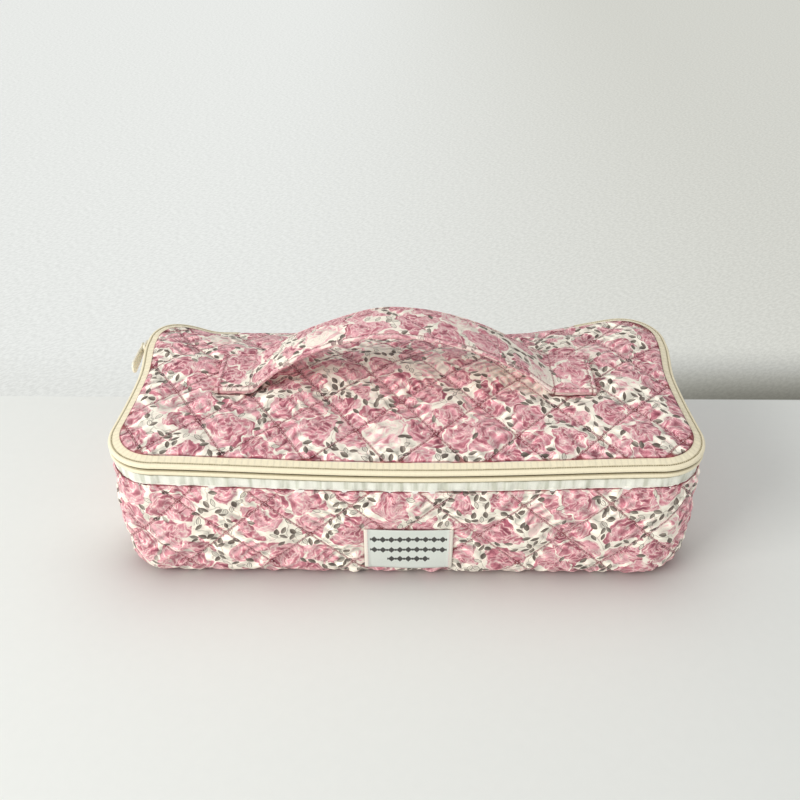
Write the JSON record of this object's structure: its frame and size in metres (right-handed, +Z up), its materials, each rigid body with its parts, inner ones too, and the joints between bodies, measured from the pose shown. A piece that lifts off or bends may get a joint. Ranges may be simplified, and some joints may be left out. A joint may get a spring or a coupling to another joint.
{
  "type": "knitting bag",
  "caption": "Long soft quilted knitting bag with a padded lid that zips round three sides, a fabric hinge along the back and a strap handle on the lid.",
  "frame": {"origin": "centre of the flat underside of the base, on the surface that the bag stands on", "axes": "+X along the bag's length, towards the right as seen from the front; -Y towards the front, which carries the label; +Z up"},
  "size_m": [0.3372, 0.1586, 0.1271],
  "materials": {
    "print_fabric": "quilted printed cotton, matt",
    "batting": "polyester batting, matt",
    "lining": "plain cotton lining, matt",
    "binding": "cotton binding tape, matt",
    "zip_tape": "woven polyester tape, slight sheen",
    "zip_coil": "nylon coil, satin",
    "slider_paint": "cream enamel, satin",
    "label": "woven satin label",
    "thread": "spun polyester thread"
  },
  "bodies": {
    "bag": {"base_outer_fabric": "print_fabric", "base_batting": "batting", "base_lining": "lining", "base_seam_binding": "binding", "wall_outer_fabric": "print_fabric", "wall_batting": "batting", "wall_lining": "lining", "rim_binding": "binding", "rim_topstitching": "thread", "lower_zip_tape": "zip_tape", "lower_zip_coil": "zip_coil", "label": "label", "label_stitching": "thread"},
    "lid": {"lid_outer_fabric": "print_fabric", "lid_batting": "batting", "lid_lining": "lining", "lid_seam_binding": "binding", "upper_zip_tape": "zip_tape", "upper_zip_coil": "zip_coil", "hinge_strip": "print_fabric", "hinge_lining": "lining", "handle_left_end": "print_fabric", "handle_right_end": "print_fabric", "handle_end_stitching": "thread", "handle_left_bend": "print_fabric", "handle_right_bend": "print_fabric"},
    "handle": {"handle_cover": "print_fabric", "handle_padding": "batting"},
    "slider": {"slider_body": "slider_paint"},
    "pull": {"pull_tab": "slider_paint"}
  },
  "joints": [
    {"name": "lid_hinge", "type": "hinge", "parent": "bag", "child": "lid", "pos_m": [0, 0.0773, 0.082], "axis": [-1, 0, 0], "range_deg": [0, 180], "deforming": ["hinge_strip", "hinge_lining"]},
    {"name": "handle_tilt", "type": "hinge", "parent": "lid", "child": "handle", "pos_m": [0, 0, 0.08895], "axis": [1, 0, 0], "range_deg": [-30, 30], "stiffness_Nm_per_rad": 0.03, "deforming": ["handle_left_bend", "handle_right_bend"]},
    {"name": "slider_travel", "type": "slide", "parent": "bag", "child": "slider", "axis": [0, -1, 0], "range_m": [0, 0.082]},
    {"name": "pull_swing", "type": "hinge", "parent": "slider", "child": "pull", "pos_m": [-0.1679, 0.041, 0.082], "axis": [0, 0, -1], "range_deg": [0, 175]}
  ]
}
